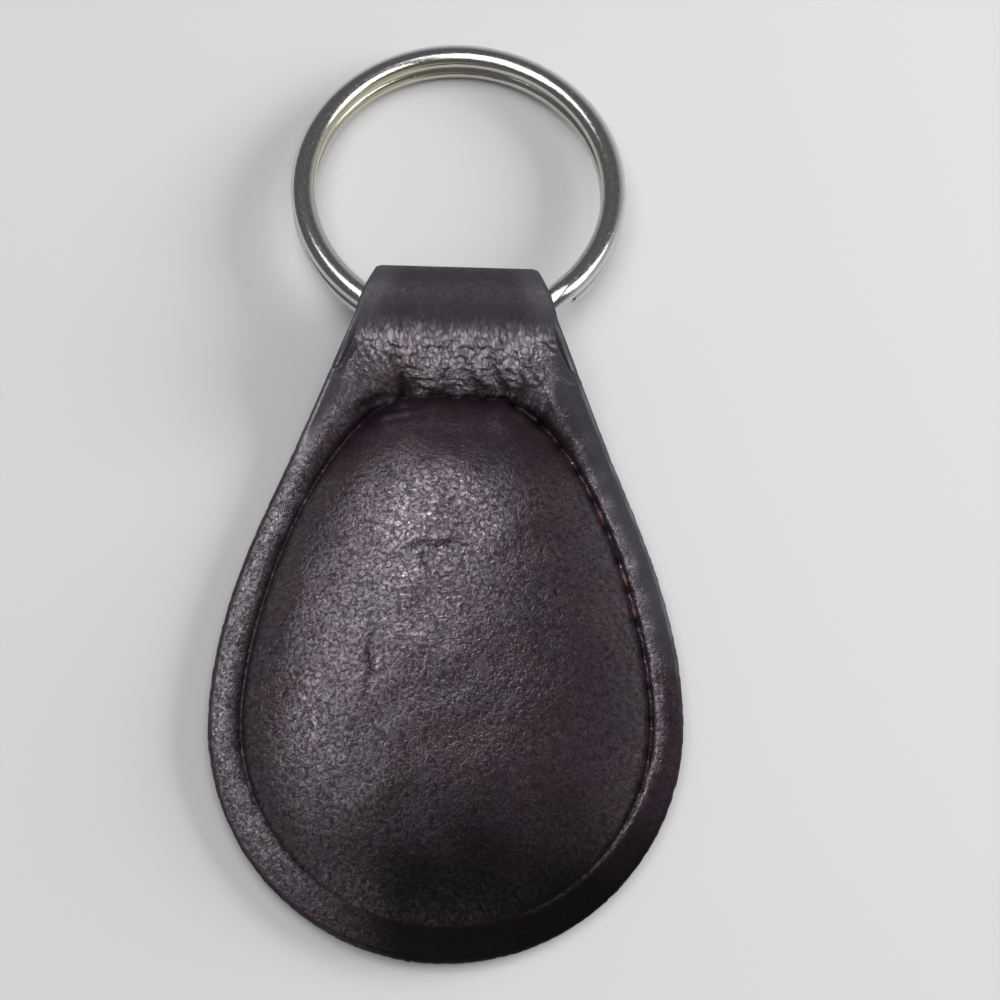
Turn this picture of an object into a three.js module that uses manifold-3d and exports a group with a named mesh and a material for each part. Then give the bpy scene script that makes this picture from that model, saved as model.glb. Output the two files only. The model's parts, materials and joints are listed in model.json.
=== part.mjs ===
// Leather tag keychain: one hourglass of leather folded over a split ring, with a pad sewn
// between its two faces. Millimetres, +Z up: the tag lies on its back on Z = 0 with the ring
// towards +Y, and the origin is the centre of the tag's round end, on its back face.
import * as THREE from "three";
import { mergeVertices } from "three/addons/utils/BufferGeometryUtils.js";
import Module from "manifold-3d";

const wasm = await Module();
wasm.setup();
const degree = Math.PI / 180;

// Tag outline, seen from above
const endRadius = 21.2;
const sideHandleAtEnd = 12.5;
const sideHandleAtNeck = 14;
const sideSlant = 23 * degree;
const neckBelowFold = 1.7;
const neckHalfWidth = 9.5;
const loopHalfWidth = 8.2;
const loopCorner = 1.6;

// Leather, fold and padded face
const leatherThickness = 1.2;
const layerGap = 0.3;
const foldAxisY = 38.1;
const neckSlope = 52 * degree;
const domeRise = 5.5;
const domeCentreY = 4;
const domeEdgePower = 2.2;
const domeCrownPower = 0.7;
const padClearance = 0.3;

// Seam
const seamInset = 3;
const seamToNeck = 0.7;
const seamTopHalfWidth = 5;
const seamHandleAtEnd = 9;
const seamShoulder = new THREE.Vector2(8, 4);
const stitchPitch = 3;
const threadDiameter = 0.5;
const threadClearance = 0.2;
const threadSink = 0.1;

// Split ring
const ringDiameter = 32;
const wireWidth = 2.35;
const coilHeight = 1.48;
const coilGap = 0.44;
const wireChamfer = 0.5;
const wireStart = 315 * degree;
const coilSweep = 330 * degree;
const stepSweep = 30 * degree;
const ringClearance = 0.25;
const mouthBevel = 0.9;
const mouthBevelEnd = 62 * degree;
const floorClearance = 0.05;

// Finishes
const leather = { color: 0x2a2124, roughness: 0.5, metalness: 0 };
const foam = { color: 0xcfc7b4, roughness: 0.95, metalness: 0 };
const sewingThread = { color: 0x4a2a24, roughness: 0.8, metalness: 0 };
const nickelPlate = { color: 0xb9b7b2, roughness: 0.22, metalness: 1 };

// Steps of the round shapes
const arcSteps = 16;
const domeRings = 8;
const bevelSteps = 6;
const threadStepsPerStitch = 6;
const threadSides = 5;
const stepsPerTurn = 48;

// The ring swings about a pivot half way along the stretch of wire that the loop holds, and
// the fold is wide enough for that stretch at every angle.
const ringRadius = ringDiameter / 2;
const stackHeight = 2 * coilHeight + coilGap;
const mouthHalfWidth = neckHalfWidth - mouthBevel;
const mouthAcross = Math.sqrt((ringRadius - wireWidth) ** 2 - mouthHalfWidth ** 2);
const heldReach = (ringRadius - mouthAcross) / 2;
const pivotRadius = ringRadius - heldReach;
const sweptRadius = (reach) =>
  Math.max(
    Math.hypot(reach, stackHeight / 2 - wireChamfer),
    Math.hypot(reach - wireChamfer, stackHeight / 2),
  );
const foldInnerRadius = sweptRadius(heldReach) + ringClearance;
const foldOuterRadius = foldInnerRadius + leatherThickness;
const foldAxisZ = foldOuterRadius;
const loopEndY = foldAxisY + foldOuterRadius;
const neckY = foldAxisY - neckBelowFold;

// Heights of the two layers where they lie together, and of the padded face
const frontUnderside = leatherThickness + layerGap;
const rimTop = frontUnderside + leatherThickness;
const crownTop = rimTop + domeRise;
const cutMargin = 1;

// Where the front layer, sloping down from the fold, meets the plane at a height.
function slopeFootY(radius, height) {
  const tangentY = foldAxisY - radius * Math.sin(neckSlope);
  const tangentZ = foldAxisZ + radius * Math.cos(neckSlope);
  return tangentY - (tangentZ - height) / Math.tan(neckSlope);
}
const seamTopY = slopeFootY(foldOuterRadius, rimTop) - seamToNeck;
const seamRadius = endRadius - seamInset;

const seam = new THREE.Path();
seam.absarc(0, 0, seamRadius, Math.PI, 2 * Math.PI, false);
seam.bezierCurveTo(
  seamRadius,
  seamHandleAtEnd,
  seamTopHalfWidth + seamShoulder.x,
  seamTopY - seamShoulder.y,
  seamTopHalfWidth,
  seamTopY,
);
seam.lineTo(-seamTopHalfWidth, seamTopY);
seam.bezierCurveTo(
  -seamTopHalfWidth - seamShoulder.x,
  seamTopY - seamShoulder.y,
  -seamRadius,
  seamHandleAtEnd,
  -seamRadius,
  0,
);
const stitchCount = Math.round(seam.getLength() / stitchPitch);
const seamSteps = 2 * stitchCount;

// Sewing: a groove on each face keeps the thread just under the surface, and a slit through
// both layers at each stitch lets it dip towards the thread of the other face.
const threadRadius = threadDiameter / 2;
const grooveDepth = threadDiameter + threadClearance + threadSink;
const grooveHalfWidth = threadRadius + threadClearance;
const threadDip = rimTop / 2 - threadSink - 2 * threadRadius - layerGap / 2;
const slitLength = stitchPitch / 2 + threadClearance;

// A closed geometry as a solid, its coincident points merged and empty triangles left out.
function solidOf(geometry) {
  const bare = geometry.clone();
  bare.deleteAttribute("normal");
  bare.deleteAttribute("uv");
  const merged = mergeVertices(bare);
  const corners = merged.index.array;
  const kept = [];
  for (let i = 0; i < corners.length; i += 3) {
    const [a, b, c] = corners.slice(i, i + 3);
    if (a !== b && b !== c && c !== a) kept.push(a, b, c);
  }
  return new wasm.Manifold(
    new wasm.Mesh({
      numProp: 3,
      vertProperties: merged.attributes.position.array,
      triVerts: new Uint32Array(kept),
    }),
  );
}

function geometryOf(solid) {
  const mesh = solid.getMesh();
  const geometry = new THREE.BufferGeometry();
  geometry.setAttribute("position", new THREE.BufferAttribute(mesh.vertProperties, 3));
  geometry.setIndex(new THREE.BufferAttribute(mesh.triVerts, 1));
  geometry.computeVertexNormals();
  return geometry;
}

function namedMesh(name, geometry, finish) {
  const mesh = new THREE.Mesh(geometry, new THREE.MeshStandardMaterial(finish));
  mesh.name = name;
  return mesh;
}

// The tag's outline as a prism that passes right through the folded leather.
function outlinePrism() {
  const endY = loopEndY + cutMargin;
  const neckHandle = new THREE.Vector2(
    neckHalfWidth + sideHandleAtNeck * Math.sin(sideSlant),
    neckY - sideHandleAtNeck * Math.cos(sideSlant),
  );
  const outline = new THREE.Shape();
  outline.absarc(0, 0, endRadius, Math.PI, 2 * Math.PI, false);
  outline.bezierCurveTo(endRadius, sideHandleAtEnd, neckHandle.x, neckHandle.y, neckHalfWidth, neckY);
  outline.lineTo(loopHalfWidth, loopEndY - loopCorner);
  outline.quadraticCurveTo(loopHalfWidth, loopEndY, loopHalfWidth - loopCorner, loopEndY);
  outline.lineTo(loopHalfWidth - loopCorner, endY);
  outline.lineTo(loopCorner - loopHalfWidth, endY);
  outline.lineTo(loopCorner - loopHalfWidth, loopEndY);
  outline.quadraticCurveTo(-loopHalfWidth, loopEndY, -loopHalfWidth, loopEndY - loopCorner);
  outline.lineTo(-neckHalfWidth, neckY);
  outline.bezierCurveTo(-neckHandle.x, neckHandle.y, -endRadius, sideHandleAtEnd, -endRadius, 0);
  const prism = new THREE.ExtrudeGeometry(outline, {
    depth: 2 * foldOuterRadius + 2 * cutMargin,
    bevelEnabled: false,
    curveSegments: 2 * arcSteps,
  });
  return prism.translate(0, 0, -cutMargin);
}

// The leather's folded section in the YZ plane: flat back, round fold, slope and flat front,
// drawn past the tag's end and sides for the outline to trim.
function foldedSheet() {
  const farY = -endRadius - cutMargin;
  const slopeEnd = Math.PI / 2 + neckSlope;
  const section = new THREE.Shape();
  section.moveTo(farY, 0);
  section.lineTo(foldAxisY, 0);
  section.absarc(foldAxisY, foldAxisZ, foldOuterRadius, -Math.PI / 2, slopeEnd, false);
  section.lineTo(slopeFootY(foldOuterRadius, rimTop), rimTop);
  section.lineTo(farY, rimTop);
  section.lineTo(farY, frontUnderside);
  section.lineTo(slopeFootY(foldInnerRadius, frontUnderside), frontUnderside);
  section.absarc(foldAxisY, foldAxisZ, foldInnerRadius, slopeEnd, -Math.PI / 2, true);
  section.lineTo(farY, leatherThickness);
  const halfWidth = endRadius + cutMargin;
  const sheet = new THREE.ExtrudeGeometry(section, {
    depth: 2 * halfWidth,
    bevelEnabled: false,
    curveSegments: 2 * arcSteps,
  });
  const alongY = new THREE.Vector3(0, 1, 0);
  const alongZ = new THREE.Vector3(0, 0, 1);
  const alongX = new THREE.Vector3(1, 0, 0);
  sheet.applyMatrix4(new THREE.Matrix4().makeBasis(alongY, alongZ, alongX));
  return sheet.translate(-halfWidth, 0, 0);
}

// A crowned pillow whose plan is the seam drawn in by an inset.
function pillow(inset, floorZ, edgeZ, crownZ) {
  const profile = [new THREE.Vector2(0, floorZ), new THREE.Vector2(1, floorZ)];
  for (let ring = 0; ring <= domeRings; ring++) {
    const share = ring === domeRings ? 0 : Math.cos(((ring / domeRings) * Math.PI) / 2);
    const rise = (1 - share ** domeEdgePower) ** domeCrownPower;
    profile.push(new THREE.Vector2(share, edgeZ + (crownZ - edgeZ) * rise));
  }
  const centre = new THREE.Vector2(0, domeCentreY);
  const rim = seam.getSpacedPoints(seamSteps).map((point) => {
    const ray = point.sub(centre);
    return ray.setLength(ray.length() - inset);
  });
  const lathe = new THREE.LatheGeometry(profile, seamSteps);
  const place = lathe.attributes.position;
  for (let turn = 0; turn <= seamSteps; turn++) {
    const ray = rim[turn % seamSteps];
    profile.forEach((point, level) => {
      const x = centre.x + ray.x * point.x;
      const y = centre.y + ray.y * point.x;
      place.setXYZ(turn * profile.length + level, x, y, point.y);
    });
  }
  return lathe;
}

// A closed tube that runs round the seam: sectionAt(share) gives its [outward, height] points.
function aroundSeam(steps, sectionAt) {
  const line = seam.getSpacedPoints(steps).slice(0, steps);
  const sides = sectionAt(0).length;
  const places = [];
  const corners = [];
  line.forEach((point, step) => {
    const ahead = line[(step + 1) % steps];
    const behind = line[(step + steps - 1) % steps];
    const outward = new THREE.Vector2(ahead.y - behind.y, behind.x - ahead.x).normalize();
    for (const [reach, height] of sectionAt(step / steps)) {
      places.push(point.x + outward.x * reach, point.y + outward.y * reach, height);
    }
    for (let side = 0; side < sides; side++) {
      const a = step * sides + side;
      const b = ((step + 1) % steps) * sides + side;
      const c = ((step + 1) % steps) * sides + ((side + 1) % sides);
      const d = step * sides + ((side + 1) % sides);
      corners.push(a, b, d, c, d, b);
    }
  });
  const geometry = new THREE.BufferGeometry();
  geometry.setAttribute("position", new THREE.Float32BufferAttribute(places, 3));
  geometry.setIndex(corners);
  geometry.computeVertexNormals();
  return geometry;
}

function groove(lowZ, highZ) {
  const section = [
    [-grooveHalfWidth, lowZ],
    [grooveHalfWidth, lowZ],
    [grooveHalfWidth, highZ],
    [-grooveHalfWidth, highZ],
  ];
  return aroundSeam(seamSteps, () => section);
}

function stitchSlits() {
  const holes = seam.getSpacedPoints(stitchCount);
  return holes.slice(0, stitchCount).map((hole, index) => {
    const ahead = holes[(index + 1) % stitchCount];
    const behind = holes[(index + stitchCount - 1) % stitchCount];
    const slit = new THREE.BoxGeometry(slitLength, 2 * grooveHalfWidth, rimTop);
    slit.rotateZ(Math.atan2(ahead.y - behind.y, ahead.x - behind.x));
    return slit.translate(hole.x, hole.y, rimTop / 2);
  });
}

// The mouths of the loop, bevelled inside as the ring's inner edge sweeps past them.
function mouthBevels() {
  const innerRadius = ringRadius - wireWidth;
  const firstTurn = Math.asin(mouthHalfWidth / innerRadius);
  const profile = [new THREE.Vector2(0, mouthHalfWidth)];
  for (let step = 0; step <= bevelSteps; step++) {
    const turn = THREE.MathUtils.lerp(firstTurn, mouthBevelEnd, step / bevelSteps);
    const reach = pivotRadius - innerRadius * Math.cos(turn);
    profile.push(new THREE.Vector2(sweptRadius(reach) + ringClearance, innerRadius * Math.sin(turn)));
  }
  profile.push(new THREE.Vector2(0, profile.at(-1).y));
  return [1, -1].map((side) => {
    const cone = new THREE.LatheGeometry(profile, 3 * arcSteps);
    return cone.rotateZ((-side * Math.PI) / 2).translate(0, foldAxisY, foldAxisZ);
  });
}

function foldedCover() {
  const faceEdge = rimTop - grooveDepth;
  const cavityFloor = leatherThickness + layerGap / 2;
  const cavityTop = crownTop - leatherThickness;
  let cover = solidOf(foldedSheet()).intersect(solidOf(outlinePrism()));
  cover = cover.add(solidOf(pillow(0, frontUnderside, faceEdge, crownTop)));
  const cuts = [
    pillow(leatherThickness, cavityFloor, frontUnderside, cavityTop),
    groove(rimTop - grooveDepth, crownTop),
    groove(-cutMargin, grooveDepth),
    ...stitchSlits(),
    ...mouthBevels(),
  ];
  for (const cut of cuts) cover = cover.subtract(solidOf(cut));
  return namedMesh("folded_cover", geometryOf(cover), leather);
}

function foamPad() {
  const seat = leatherThickness + padClearance;
  const top = crownTop - leatherThickness - padClearance;
  const pad = pillow(leatherThickness + padClearance, seat, seat, top);
  return namedMesh("foam_pad", pad, foam);
}

// One thread of the lockstitch, lying in its groove between the slits and dipping at each.
function thread(name, restZ, dip) {
  const steps = stitchCount * threadStepsPerStitch;
  const sectionAt = (share) => {
    const dive = Math.max(0, Math.cos(2 * Math.PI * share * stitchCount)) ** 2;
    const section = [];
    for (let side = 0; side < threadSides; side++) {
      const turn = (side / threadSides) * 2 * Math.PI;
      section.push([threadRadius * Math.cos(turn), restZ + dip * dive + threadRadius * Math.sin(turn)]);
    }
    return section;
  };
  return namedMesh(name, aroundSeam(steps, sectionAt), sewingThread);
}

// The ring's wire: a lower coil, a short climb and an upper coil, kept level all the way.
class RingWire extends THREE.Curve {
  getPoint(share, target = new THREE.Vector3()) {
    const turned = share * (2 * coilSweep + stepSweep);
    const climb = THREE.MathUtils.smoothstep(turned, coilSweep, coilSweep + stepSweep);
    const height = (climb - 0.5) * (coilHeight + coilGap);
    const radius = ringRadius - wireWidth / 2;
    const angle = wireStart + turned;
    return target.set(radius * Math.cos(angle), radius * Math.sin(angle), height);
  }

  computeFrenetFrames(steps) {
    const frames = { tangents: [], normals: [], binormals: [] };
    for (let step = 0; step <= steps; step++) {
      const tangent = this.getTangentAt(step / steps);
      const across = new THREE.Vector3(0, 0, 1).cross(tangent).normalize();
      const normal = tangent.clone().cross(across);
      frames.tangents.push(tangent);
      frames.normals.push(normal);
      frames.binormals.push(tangent.clone().cross(normal));
    }
    return frames;
  }
}

// The least distance between corners of the wire that are more than a quarter turn apart.
function leastCoilGap(section, steps) {
  const wire = new RingWire();
  const frames = wire.computeFrenetFrames(steps);
  const rows = wire.getSpacedPoints(steps).map((point, step) =>
    section.map((corner) => {
      const place = point.clone().addScaledVector(frames.normals[step], corner.x);
      return place.addScaledVector(frames.binormals[step], corner.y);
    }),
  );
  let least = Infinity;
  rows.forEach((row, step) => {
    const others = rows.slice(step + stepsPerTurn / 4).flat();
    for (const a of row) {
      for (const b of others) least = Math.min(least, a.distanceTo(b));
    }
  });
  return least;
}

function splitRing() {
  const high = coilHeight / 2;
  const wide = wireWidth / 2;
  const section = [
    new THREE.Vector2(-high, wireChamfer - wide),
    new THREE.Vector2(wireChamfer - high, -wide),
    new THREE.Vector2(high - wireChamfer, -wide),
    new THREE.Vector2(high, wireChamfer - wide),
    new THREE.Vector2(high, wide - wireChamfer),
    new THREE.Vector2(high - wireChamfer, wide),
    new THREE.Vector2(wireChamfer - high, wide),
    new THREE.Vector2(-high, wide - wireChamfer),
  ];
  const turned = (2 * coilSweep + stepSweep) / (2 * Math.PI);
  const steps = Math.round(turned * stepsPerTurn);
  const shape = new THREE.Shape(section);
  const geometry = new THREE.ExtrudeGeometry(shape, { steps, extrudePath: new RingWire() });
  console.log("split_ring least gap to itself, mm: " + leastCoilGap(section, steps).toFixed(3));
  const ring = namedMesh("split_ring", geometry, nickelPlate);
  ring.position.y = pivotRadius;
  return ring;
}

// The ring hangs on the fold's axis with its far side let down onto the surface under the tag.
function swungRing() {
  const reachY = pivotRadius + ringRadius - wireChamfer;
  const drop = foldAxisZ - floorClearance;
  const reach = Math.hypot(reachY, stackHeight / 2);
  const swing = new THREE.Group();
  swing.position.set(0, foldAxisY, foldAxisZ);
  swing.rotation.x = Math.atan2(stackHeight / 2, reachY) - Math.asin(drop / reach);
  swing.add(splitRing());
  return swing;
}

const keychain = new THREE.Group();
keychain.add(foldedCover());
keychain.add(foamPad());
keychain.add(thread("needle_thread", rimTop - threadSink - threadRadius, -threadDip));
keychain.add(thread("bobbin_thread", threadSink + threadRadius, threadDip));
keychain.add(swungRing());

export default keychain;
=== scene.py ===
import json
import math

import bmesh
import bpy
import numpy as np
from mathutils import Matrix, Vector


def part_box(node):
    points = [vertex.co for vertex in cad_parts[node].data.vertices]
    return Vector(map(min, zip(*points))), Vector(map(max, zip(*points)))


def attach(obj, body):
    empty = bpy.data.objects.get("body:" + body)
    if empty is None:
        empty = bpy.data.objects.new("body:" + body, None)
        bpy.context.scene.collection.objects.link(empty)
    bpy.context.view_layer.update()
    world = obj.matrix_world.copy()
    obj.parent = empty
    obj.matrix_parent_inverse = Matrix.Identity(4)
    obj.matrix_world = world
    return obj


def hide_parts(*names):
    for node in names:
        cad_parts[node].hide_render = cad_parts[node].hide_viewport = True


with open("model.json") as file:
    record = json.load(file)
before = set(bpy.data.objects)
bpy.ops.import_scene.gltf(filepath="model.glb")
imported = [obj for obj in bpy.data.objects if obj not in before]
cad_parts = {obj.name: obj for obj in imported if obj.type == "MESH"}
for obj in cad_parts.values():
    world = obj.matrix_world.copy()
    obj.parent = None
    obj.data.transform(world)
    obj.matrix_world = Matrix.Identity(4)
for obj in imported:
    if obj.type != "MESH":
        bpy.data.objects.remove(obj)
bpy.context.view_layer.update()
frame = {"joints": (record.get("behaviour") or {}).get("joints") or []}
scene = bpy.context.scene
scene.view_settings.view_transform = "Standard"
MM = 0.001


def photo_camera():
    """Nearly overhead, from the round end, with the picture turned a little clockwise."""
    azimuth = math.radians(-5.23)
    elevation = math.radians(72.23)
    roll = math.radians(6.41)
    distance = 0.20173
    aim = Vector((0.00452, 0.0214, 0.0))
    level = math.cos(elevation)
    back = Vector((math.sin(azimuth) * level, -math.cos(azimuth) * level, math.sin(elevation)))
    right = Vector((math.cos(azimuth), math.sin(azimuth), 0.0))
    up = back.cross(right)
    side = right * math.cos(roll) + up * math.sin(roll)
    top = up * math.cos(roll) - right * math.sin(roll)
    lens = bpy.data.cameras.new("photo_camera")
    lens.angle = math.radians(26)
    lens.clip_start = 0.005
    camera = bpy.data.objects.new("photo_camera", lens)
    turn = Matrix((side, top, back)).transposed().to_4x4()
    camera.matrix_world = Matrix.Translation(aim + back * distance) @ turn
    scene.collection.objects.link(camera)
    scene.camera = camera


photo_camera()


def half_span(node):
    """Half of a node's width in millimetres, free of its mesh's rounding."""
    return round(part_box(node)[1][0] / MM, 3)


# Sizes of the solids that the pieces follow, in millimetres.
END_RADIUS = half_span("folded_cover")
SIDE_HANDLE_AT_END = 12.5
SIDE_HANDLE_AT_NECK = 14.0
SIDE_SLANT = math.radians(23)
NECK_Y = 36.4
NECK_HALF = 9.5
LOOP_HALF = 8.2
LEATHER = 1.2
FOLD_Y, FOLD_Z = (place / MM for place in frame["joints"][0]["pos_m"][1:])
FOLD_RADIUS = FOLD_Z
LOOP_END_Y = FOLD_Y + FOLD_RADIUS
RIM_TOP = 2.7
CROWN_TOP = 8.2
DOME_CENTRE_Y = 4.0
SEAM_INSET = 3.0
SEAM_RADIUS = END_RADIUS - SEAM_INSET
SEAM_TOP_Y = 30.48
SEAM_TOP_HALF = 5.0
SEAM_HANDLE_AT_END = 9.0
SEAM_HANDLE_AT_TOP = np.array([8.0, -4.0])
STITCHES = 45
RING_RADIUS = half_span("split_ring")
WIRE_WIDTH = 2.35
STACK_HEIGHT = 3.4
PIVOT_RADIUS = 13.3
RING_TILT = math.radians(-5.303)

# The corners at the fold's ends are tighter than the solid's.
LOOP_CORNER = 1.1


def smooth(low, high, value):
    """0 below low, 1 above high and an even S between them."""
    share = np.clip((value - low) / (high - low), 0.0, 1.0)
    return share * share * (3.0 - 2.0 * share)


def hump(distance, width):
    return np.exp(-((distance / width) ** 2))


def most(*values):
    return np.maximum.reduce(values)


def ripple(x, y, seed):
    """Even noise, about -1 to 1, from the place and a seed alone."""
    x, y = np.broadcast_arrays(np.asarray(x, float), np.asarray(y, float))
    left, low = np.floor(x), np.floor(y)
    across, along = x - left, y - low

    def pull(step_x, step_y):
        mix = (left + step_x).astype(np.int64) * 374761393 + (low + step_y).astype(np.int64) * 668265263
        mix = (mix + seed * 974634777) & 0xFFFFFFFF
        mix = ((mix ^ (mix >> 13)) * 1274126177) & 0xFFFFFFFF
        turn = (mix ^ (mix >> 16)) * (2.0 * math.pi / 2**32)
        return np.cos(turn) * (across - step_x) + np.sin(turn) * (along - step_y)

    fade_x = across**3 * (across * (across * 6 - 15) + 10)
    fade_y = along**3 * (along * (along * 6 - 15) + 10)
    near = pull(0, 0) * (1 - fade_x) + pull(1, 0) * fade_x
    far = pull(0, 1) * (1 - fade_x) + pull(1, 1) * fade_x
    return 1.5 * (near * (1 - fade_y) + far * fade_y)


def bezier(points, share):
    a, b, c, d = (np.array(point, float) for point in points)
    t = np.asarray(share, float)[:, None]
    return a * (1 - t) ** 3 + 3 * b * t * (1 - t) ** 2 + 3 * c * t * t * (1 - t) + d * t**3


def unit_way(degrees):
    return np.array([math.cos(math.radians(degrees)), math.sin(math.radians(degrees))])


def square_left(line):
    """Unit directions square to a line of points, to its left."""
    way = np.gradient(line, axis=0)
    left = np.c_[-way[:, 1], way[:, 0]]
    return left / np.hypot(left[:, 0], left[:, 1])[:, None]


def length_along(line):
    return np.r_[0, np.cumsum(np.hypot(*np.diff(line, axis=0).T))]


def link_mesh(name, bm):
    """A finished bmesh as a smooth-shaded object at the origin."""
    mesh = bpy.data.meshes.new(name)
    bm.to_mesh(mesh)
    bm.free()
    mesh.polygons.foreach_set("use_smooth", [True] * len(mesh.polygons))
    piece = bpy.data.objects.new(name, mesh)
    scene.collection.objects.link(piece)
    return piece


def set_places(piece, places):
    """Moves a piece's points to these places, given in millimetres."""
    piece.data.vertices.foreach_set("co", (np.asarray(places) * MM).astype(np.float32).ravel())
    piece.data.update()


def read_layer(piece, name):
    values = np.zeros(len(piece.data.vertices), np.float32)
    piece.data.attributes[name].data.foreach_get("value", values)
    return values.astype(float)


def write_layer(piece, name, values):
    stored = piece.data.attributes.new(name, "FLOAT", "POINT")
    stored.data.foreach_set("value", np.asarray(values, np.float32))


def drawn_out(bm, edges):
    """Extrudes a line of edges once, and gives the new points and the new line."""
    made = bmesh.ops.extrude_edge_only(bm, edges=edges)["geom"]
    points = [item for item in made if isinstance(item, bmesh.types.BMVert)]
    return points, [item for item in made if isinstance(item, bmesh.types.BMEdge)]


# The tag's outline and the seam, seen from above.
def edge_line():
    """Right half of the outline, from the middle of the round end to the end of the loop."""
    turn = np.linspace(-math.pi / 2, 0, 120)
    arc = END_RADIUS * np.c_[np.cos(turn), np.sin(turn)]
    handle_x = NECK_HALF + SIDE_HANDLE_AT_NECK * math.sin(SIDE_SLANT)
    handle_y = NECK_Y - SIDE_HANDLE_AT_NECK * math.cos(SIDE_SLANT)
    corners = [(END_RADIUS, 0), (END_RADIUS, SIDE_HANDLE_AT_END), (handle_x, handle_y), (NECK_HALF, NECK_Y)]
    side = bezier(corners, np.linspace(0, 1, 160)[1:])
    straight = np.linspace(0, 1, 12)[1:, None]
    loop_start = np.array([LOOP_HALF, LOOP_END_Y - LOOP_CORNER])
    neck = np.array([NECK_HALF, NECK_Y]) * (1 - straight) + loop_start * straight
    round_share = np.linspace(0, 1, 16)[1:, None]
    peak = np.array([LOOP_HALF, LOOP_END_Y])
    loop_stop = np.array([LOOP_HALF - LOOP_CORNER, LOOP_END_Y])
    corner = loop_start * (1 - round_share) ** 2 + 2 * peak * round_share * (1 - round_share)
    corner = corner + loop_stop * round_share**2
    return np.vstack([arc, side, neck, corner])


EDGE = edge_line()
UPPER_EDGE = EDGE[EDGE[:, 1] >= 0]


def half_width(y):
    return np.interp(y, UPPER_EDGE[:, 1], UPPER_EDGE[:, 0])


def seam_line(count=480):
    """The closed seam as evenly spaced points, starting at the left of the round end."""
    turn = np.linspace(math.pi, 2 * math.pi, 200)
    arc = SEAM_RADIUS * np.c_[np.cos(turn), np.sin(turn)]
    top = np.array([SEAM_TOP_HALF, SEAM_TOP_Y])
    climb = [(SEAM_RADIUS, 0), (SEAM_RADIUS, SEAM_HANDLE_AT_END), top + SEAM_HANDLE_AT_TOP, top]
    right = bezier(climb, np.linspace(0, 1, 160)[1:])
    left = right[::-1] * np.array([-1.0, 1.0])
    line = np.vstack([arc, right, left, arc[:1]])
    length = length_along(line)
    even = np.linspace(0, length[-1], count + 1)
    places = np.c_[np.interp(even, length, line[:, 0]), np.interp(even, length, line[:, 1])]
    return places[:-1], length[-1]


SEAM, SEAM_LENGTH = seam_line()
CLOSED_SEAM = np.vstack([SEAM, SEAM[:1]])
PITCH = SEAM_LENGTH / STITCHES


def along_line(line, x, y):
    """Distance from each place to a line of points, and how far along it the nearest point is."""
    start, stop = line[:-1], line[1:]
    way = stop - start
    squares = (way**2).sum(1)
    steps = np.r_[0, np.cumsum(np.sqrt(squares))]
    least = np.empty(len(x))
    reached = np.empty(len(x))
    batch = 4000
    for first in range(0, len(x), batch):
        part = slice(first, first + batch)
        from_x = x[part, None] - start[:, 0]
        from_y = y[part, None] - start[:, 1]
        share = np.clip((from_x * way[:, 0] + from_y * way[:, 1]) / squares, 0, 1)
        gap = np.hypot(from_x - share * way[:, 0], from_y - share * way[:, 1])
        best = gap.argmin(1)
        rows = np.arange(len(best))
        least[part] = gap[rows, best]
        reached[part] = steps[best] + share[rows, best] * np.sqrt(squares[best])
    return least, reached


def seam_reach():
    """How far the seam is from the dome's centre in each direction, as it is and evened out."""
    ray = SEAM - np.array([0.0, DOME_CENTRE_Y])
    turn = np.linspace(-math.pi, math.pi, 720, endpoint=False)
    true = np.interp(turn, np.arctan2(ray[:, 1], ray[:, 0]), np.hypot(*ray.T), period=2 * math.pi)
    weight = hump(np.minimum(turn + math.pi, math.pi - turn), math.radians(16))
    even = np.fft.irfft(np.fft.rfft(true) * np.fft.rfft(weight / weight.sum()), len(turn))
    return turn, true, even


DIRECTIONS, REACH, EVEN_REACH = seam_reach()


def dome_share(x, y, inset=0.0):
    """0 at the dome's centre, 1 on the seam drawn in by an inset."""
    here = np.arctan2(y - DOME_CENTRE_Y, x)
    far = np.hypot(x, y - DOME_CENTRE_Y)
    share = far / (np.interp(here, DIRECTIONS, REACH, period=2 * math.pi) - inset)
    even = far / (np.interp(here, DIRECTIONS, EVEN_REACH, period=2 * math.pi) - inset)
    edge = smooth(0.7, 0.98, share)
    return share * edge + np.minimum(even, 1.0) * (1 - edge)


def crown(share, edge_power=2.4, crown_power=0.8):
    return np.clip(1 - np.clip(share, 0, 1) ** edge_power, 0, 1) ** crown_power


# The leather cover: one sheet whose rows run up the front, over the fold and down the back.
COLUMNS = 164
FRONT_ROWS = 200
WALL_ROWS = 22
SLOPE_ROWS = 50
FOLD_ROWS = 26
BACK_NECK_ROWS = 8
BACK_ROWS = 36
SLOPE_END = FRONT_ROWS + SLOPE_ROWS
ROWS = SLOPE_END + FOLD_ROWS + BACK_NECK_ROWS + BACK_ROWS
PATCH_TOP_Y = 31.0
PATCH_CORNER = math.radians(50)
EDGE_ROUND = 0.5
FRONT_UNDERSIDE = 1.26

# The slope's side view: angles in degrees, and the bend between its steep wall and its brow.
FOOT_CLIMB = 52
BEND_CLIMB = 49
BEND = np.array([PATCH_TOP_Y + 1.9, 5.05])
FOLD_LEAVES_AT = 122
WALL_HANDLE = 1.0
BROW_HANDLE = 1.6
FOLD_HANDLE = 1.2
SIDE_RISE = 2.6
RAMP_CLIMB = 27
RAMP_HANDLE = 1.7


def closer_at_ends(share, pull=0.4):
    return share - pull / (2 * math.pi) * np.sin(2 * math.pi * share)


def neck_side(x):
    """0 in the middle of the neck, 1 along its sides."""
    return smooth(4.6, 9.6, np.abs(x))


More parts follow.
